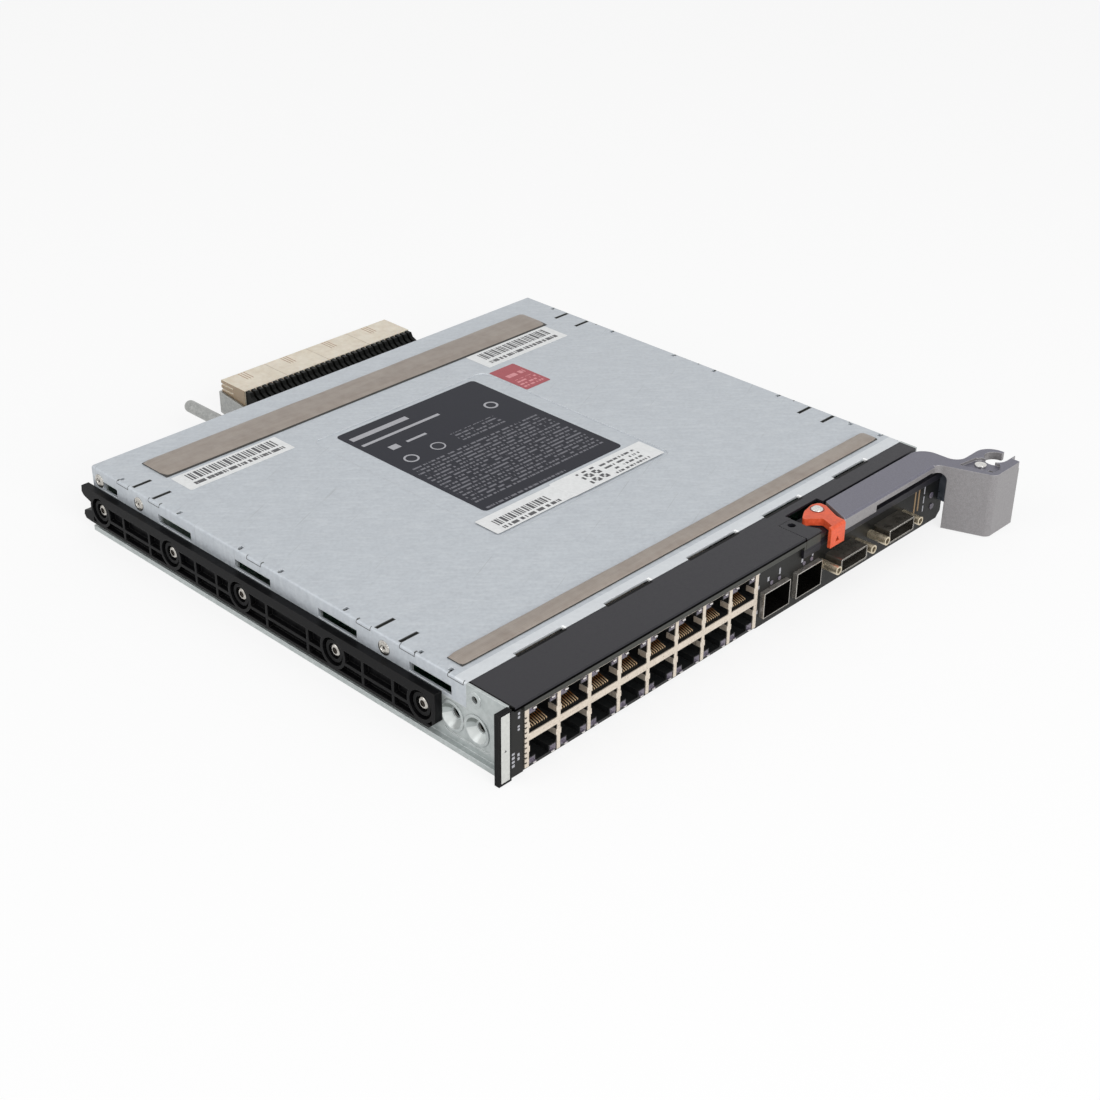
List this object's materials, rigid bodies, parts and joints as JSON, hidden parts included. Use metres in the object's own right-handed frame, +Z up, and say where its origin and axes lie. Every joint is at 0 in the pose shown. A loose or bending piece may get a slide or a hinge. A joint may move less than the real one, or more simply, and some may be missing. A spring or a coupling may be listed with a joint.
{
  "type": "blade switch",
  "caption": "Flat plug-in network switch with a row of jacks, two small cages and two shielded connectors, a swinging ejector lever with a finger latch and a plug at the back.",
  "frame": {"origin": "centre of the body's underside, midway along the face width and the body depth", "axes": "+X to the right along the face, +Y to the plug at the back, +Z up through the lid; the face looks towards -Y"},
  "size_m": [0.2571, 0.2889, 0.0278],
  "materials": {
    "black_plastic": "matt moulded plastic",
    "black_sheet": "satin black coated steel",
    "board": "solder mask",
    "bright_strip": "satin",
    "cage_metal": "nickel plated",
    "cast_bronze": "metallic coated casting",
    "chip_black": "moulded package",
    "clear_pipe": "clear moulded",
    "contact_gold": "gold plated",
    "cooler_metal": "extruded",
    "galvanised": "zinc coated steel sheet",
    "latch_orange": "moulded",
    "pale_plastic": "moulded",
    "pin_steel": "machined",
    "screw_steel": "bright plated",
    "seal_fabric": "conductive cloth over foam",
    "shield_metal": "tin plated"
  },
  "bodies": {
    "chassis": {"tray": "galvanised", "top_cover": "galvanised", "lid_screws": "screw_steel", "side_rail_left": "black_plastic", "side_rail_right": "black_plastic", "rail_screws": "screw_steel", "front_panel": "black_sheet", "front_cover": "black_sheet", "end_cap": "black_plastic", "end_strip": "bright_strip", "circuit_board": "board", "board_spacers": "screw_steel", "board_screws": "screw_steel", "jack_shield": "shield_metal", "jack_body": "black_plastic", "jack_lights": "clear_pipe", "jack_contacts": "contact_gold", "cage_left": "cage_metal", "cage_right": "cage_metal", "cage_sockets": "black_plastic", "link_shell_left": "cage_metal", "link_shell_right": "cage_metal", "link_cores": "black_plastic", "link_posts": "cage_metal", "status_lights": "clear_pipe", "plug_housings": "pale_plastic", "plug_blades": "black_plastic", "guide_pin": "pin_steel", "guide_foot": "pin_steel", "guard_plate_left": "pin_steel", "guard_plate_right": "pin_steel", "back_seal": "seal_fabric", "front_seal": "seal_fabric", "main_chip": "chip_black", "main_cooler": "cooler_metal", "line_chips": "chip_black", "power_bricks": "chip_black", "lever_bracket": "pin_steel", "lever_pin": "screw_steel", "latch_rivet": "screw_steel", "latch_bracket": "black_sheet", "latch_spring": "screw_steel"},
    "lever": {"ejector_lever": "cast_bronze"},
    "latch": {"release_latch": "latch_orange"}
  },
  "joints": [
    {"name": "lever_swing", "type": "hinge", "parent": "chassis", "child": "lever", "pos_m": [0.123, -0.1235, 0.013], "axis": [0, 0, 1], "range_deg": [0, 70]},
    {"name": "latch_press", "type": "hinge", "parent": "chassis", "child": "latch", "pos_m": [0.0503, -0.1013, 0.025], "axis": [0, 0, -1], "range_deg": [0, 8], "stiffness_Nm_per_rad": 0.02}
  ]
}
